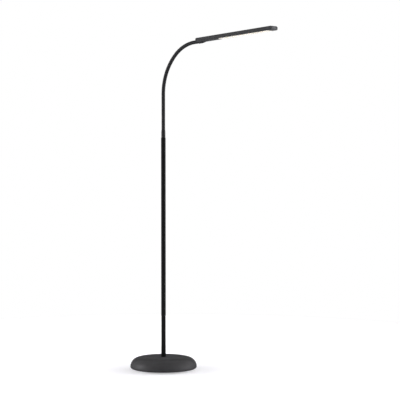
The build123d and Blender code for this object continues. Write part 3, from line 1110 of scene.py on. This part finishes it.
    def boss_section(self) -> list[tuple[float, float]]:
        """The boss's half section: straight, then sinking into the bar.

        Returns:
            Its points as (distance from the axis, distance along it).
        """
        sunk = (self.thickness / 2 - self.drop) * self.boss_sink
        section = [
            (0.0, 0.0), (self.boss_radius - self.boss_lip, 0.0), (self.boss_radius, self.boss_lip),
        ]
        for n in range(self.boss_steps + 1):
            share = n / self.boss_steps
            fall = share * share * (3 - 2 * share)
            section.append((
                self.boss_radius + (sunk - self.boss_radius) * fall,
                self.boss_straight + (self.boss_end - self.boss_straight) * share,
            ))
        return [*section, (0.0, self.boss_end)]

    def pill(self, start: float, end: float, grow: float = 0.0) -> bmesh.types.BMesh:
        """A round-ended bar on the button's axis.

        Args:
            start: Its near end from the head's rear face.
            end: Its far end.
            grow: How far its outline stands outside the button's.

        Returns:
            The closed bar, along +X.
        """
        wide, tall = self.button_width + 2 * grow, self.button_height + 2 * grow
        shape = bmesh.new()
        bmesh.ops.create_circle(shape, cap_ends=True, segments=ROUND_SIDES, radius=tall / 2)
        for side in (-1, 1):
            half = [v for v in shape.verts if v.co.y * side > WELD]
            bmesh.ops.translate(shape, verts=half, vec=(0, side * (wide - tall) / 2, 0))
        moved(shape, Matrix.Translation((start, 0, 0)) @ TO_X)
        grown = bmesh.ops.extrude_face_region(shape, geom=shape.faces[:])
        far = [v for v in grown["geom"] if isinstance(v, bmesh.types.BMVert)]
        bmesh.ops.translate(shape, verts=far, vec=(end - start, 0, 0))
        return shape

    def nose(self) -> bmesh.types.BMesh:
        """The nose cap with the button's opening.

        Returns:
            The cap, level along +X.
        """
        start = self.length - self.nose_length
        cap = self.bar(start, self.length)
        soften(cap, self.end_edges(cap, self.length), self.nose_round, self.nose_steps)
        front = self.length + self.button_proud
        return carved(cap, [self.pill(self.length - self.button_well, front, self.button_gap)])

    def button(self) -> bmesh.types.BMesh:
        """The push button, with a softened rim round a shallow dish.

        Returns:
            The button, level along +X.
        """
        front = self.length + self.button_proud
        key = self.pill(self.length - self.button_back, front)
        soften(key, self.end_edges(key, front), self.button_edge, segments=4)
        face = [f for f in key.faces if all(abs(v.co.x - front) < NEAR for v in f.verts)]
        rim = self.button_rim - self.button_edge
        bmesh.ops.inset_individual(key, faces=face, thickness=rim, use_even_offset=True)
        bmesh.ops.inset_individual(
            key, faces=face, thickness=self.button_dish, depth=-self.button_dish,
            use_even_offset=True,
        )
        return key

    def lens(self) -> bmesh.types.BMesh:
        """The light strip, standing a little proud of the underside.

        Returns:
            The strip, level along +X.
        """
        start = self.rear_cover_end + self.slot_gap
        end = self.length - self.nose_length - self.slot_gap
        half = self.slot_width / 2 - 2 * self.slot_gap
        low = -self.thickness / 2 - self.lens_proud
        strip = self.box((start, -half, low), (end, half, low + self.lens_depth))
        soften(strip, self.low_edges(strip, low), self.lens_edge, segments=4)
        return strip

    def build(self) -> None:
        """Make every piece of the head that shows, and dress the rest."""
        place = self.place()
        parts = [
            ("bar_channel", self.channel(), PALETTE.channel, "head", "head_black", "head_housing"),
            ("rear_moulding", self.rear(), PALETTE.moulding, "head", "black_plastic", "rear_cap"),
            ("nose_moulding", self.nose(), PALETTE.nose, "head", "black_plastic", "nose_cap"),
            ("light_strip", self.lens(), PALETTE.opal, "head", "lens", "diffuser"),
            (
                "push_button", self.button(), PALETTE.button, "button", "button_grey",
                "dimmer_button",
            ),
        ]
        for name, shape, finish, body, slot, node in parts:
            finished(name, moved(shape, place), finish, body, [node])
        for node, finish in self.inside.items():
            dress(node, finish)


# ---- studio -------------------------------------------------------------------------
@dataclass(frozen=True)
class Softbox:
    """A soft rectangular lamp: where it hangs as the camera sees it, and its aim."""

    name: str
    power: float
    place: tuple[float, float, float]
    size: tuple[float, float] = (1.0, 2.0)
    aim: tuple[float, float, float] = (0.0, 0.0, 0.5)


@dataclass
class Studio:
    """A white sweep, soft lamps and the camera at the photograph's angle."""

    lens: float = 129.425
    sensor: float = 36.0
    eye: Vector = field(default_factory=lambda: Vector((3.29034, -3.71264, 0.76741)))
    azimuth: float = 40.09
    tilt: float = 2.081
    sky: float = 0.32
    low_sky: float = 0.08
    sky_edge: float = 0.3
    softboxes: tuple[Softbox, ...] = (
        Softbox("left_front_lamp", 8, (-2.7, -1.0, 1.4)),
        Softbox("right_front_lamp", 8, (2.7, -1.1, 1.4)),
        Softbox("left_lamp", 112, (-3.1, 0.15, 0.7)),
        Softbox("right_lamp", 96, (3.1, 0.15, 0.7)),
        Softbox("left_back_lamp", 8, (-2.2, 2.2, 1.6)),
        Softbox("right_back_lamp", 38, (2.3, 2.2, 1.6)),
        Softbox("top_lamp", 10, (0, -1.6, 2.8), (2.4, 2.4), (0, 0, 0.2)),
    )
    floor_radius: float = 1.6
    floor_sides: int = 96
    floor_colour: Colour = (0.87, 0.865, 0.885)
    near_glow: float = 0.36
    glow_start: float = 0.2
    glow_end: float = 0.9

    def build(self) -> None:
        """Make the floor, world, lamps and camera."""
        self.floor()
        self.world()
        self.lamps()
        self.camera()

    def shown(self, nodes: Nodes) -> bpy.types.NodeSocket:
        """A socket that is 1 where a surface is seen, reflected or seen through.

        Args:
            nodes: The material's or world's nodes.

        Returns:
            The socket.
        """
        path = nodes.add("LightPath")
        seen = path.outputs["Is Camera Ray"]
        for kind in ("Is Glossy Ray", "Is Transmission Ray"):
            either = nodes.add("Math", {0: seen, 1: path.outputs[kind]}, operation="MAXIMUM")
            seen = either.outputs[0]
        return seen

    def floor(self) -> None:
        """A plain pale floor that keeps the lamp's shadow and whitens away from it."""
        shape = bmesh.new()
        bmesh.ops.create_circle(
            shape, cap_ends=True, segments=self.floor_sides, radius=self.floor_radius
        )
        mesh = bpy.data.meshes.new("floor")
        shape.to_mesh(mesh)
        shape.free()
        plane = bpy.data.objects.new("floor", mesh)
        bpy.context.scene.collection.objects.link(plane)
        made = bpy.data.materials.new("pale_floor")
        made.use_nodes = True
        made.node_tree.nodes.clear()
        nodes = Nodes(made.node_tree)
        place = nodes.add("TexCoord").outputs["Object"]
        away = nodes.add("VectorMath", {0: place}, operation="LENGTH")
        rise = nodes.add("MapRange", {
            "Value": away.outputs["Value"], "From Min": self.glow_start,
            "From Max": self.glow_end, "To Min": self.near_glow,
        })
        level = nodes.add(
            "Math", {0: self.shown(nodes), 1: rise.outputs["Result"]}, operation="MULTIPLY"
        )
        matt = nodes.add("BsdfDiffuse", {"Color": (*srgb(self.floor_colour), 1)})
        glow = nodes.add("Emission", {"Strength": level.outputs[0]})
        both = nodes.add("AddShader", {0: matt.outputs[0], 1: glow.outputs[0]})
        nodes.add("OutputMaterial", {"Surface": both.outputs[0]})
        mesh.materials.append(made)

    def world(self) -> None:
        """White where it is seen; where it lights, a sky that darkens downwards."""
        world = bpy.data.worlds.new("white_studio")
        bpy.context.scene.world = world
        world.use_nodes = True
        world.node_tree.nodes.clear()
        nodes = Nodes(world.node_tree)
        split = nodes.add("SeparateXYZ", {0: nodes.add("TexCoord").outputs["Generated"]})
        rise = nodes.add("MapRange", {
            "Value": split.outputs["Z"], "From Min": -self.sky_edge,
            "From Max": self.sky_edge, "To Min": self.low_sky, "To Max": self.sky,
        })
        plain = (1, 1, 1, 1)
        light = nodes.add("Background", {"Color": plain, "Strength": rise.outputs["Result"]})
        white = nodes.add("Background", {"Color": plain, "Strength": 1.0})
        mix = nodes.add("MixShader", {
            "Fac": self.shown(nodes), 1: light.outputs[0], 2: white.outputs[0],
        })
        nodes.add("OutputWorld", {"Surface": mix.outputs[0]})

    def lamps(self) -> None:
        """Hang every lamp, turned to the camera's side and aimed."""
        turn = Matrix.Rotation(math.radians(self.azimuth), 4, "Z")
        for lamp in self.softboxes:
            light = bpy.data.lights.new(lamp.name, "AREA")
            light.shape = "RECTANGLE"
            light.size, light.size_y = lamp.size
            light.energy = lamp.power
            hung = bpy.data.objects.new(lamp.name, light)
            at = turn @ Vector(lamp.place)
            hung.location = at
            hung.rotation_euler = (Vector(lamp.aim) - at).to_track_quat("-Z", "Y").to_euler()
            bpy.context.scene.collection.objects.link(hung)

    def camera(self) -> None:
        """Stand the camera where the photograph was taken."""
        data = bpy.data.cameras.new("camera")
        data.lens = self.lens
        data.sensor_width = self.sensor
        data.sensor_fit = "HORIZONTAL"
        stand = bpy.data.objects.new("camera", data)
        stand.location = self.eye
        stand.rotation_euler = (math.radians(90 - self.tilt), 0, math.radians(self.azimuth))
        bpy.context.scene.collection.objects.link(stand)
        bpy.context.scene.camera = stand


def main() -> None:
    """Build the lamp and its studio in order."""
    logging.basicConfig(level=logging.INFO, format="%(name)s: %(message)s")
    bpy.context.scene.view_settings.view_transform = "Standard"
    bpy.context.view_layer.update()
    Studio().build()
    Base().build()
    Pole().build()
    hose = Hose()
    hose.build()
    Head(hose).build()


if __name__ == "__main__":
    main()
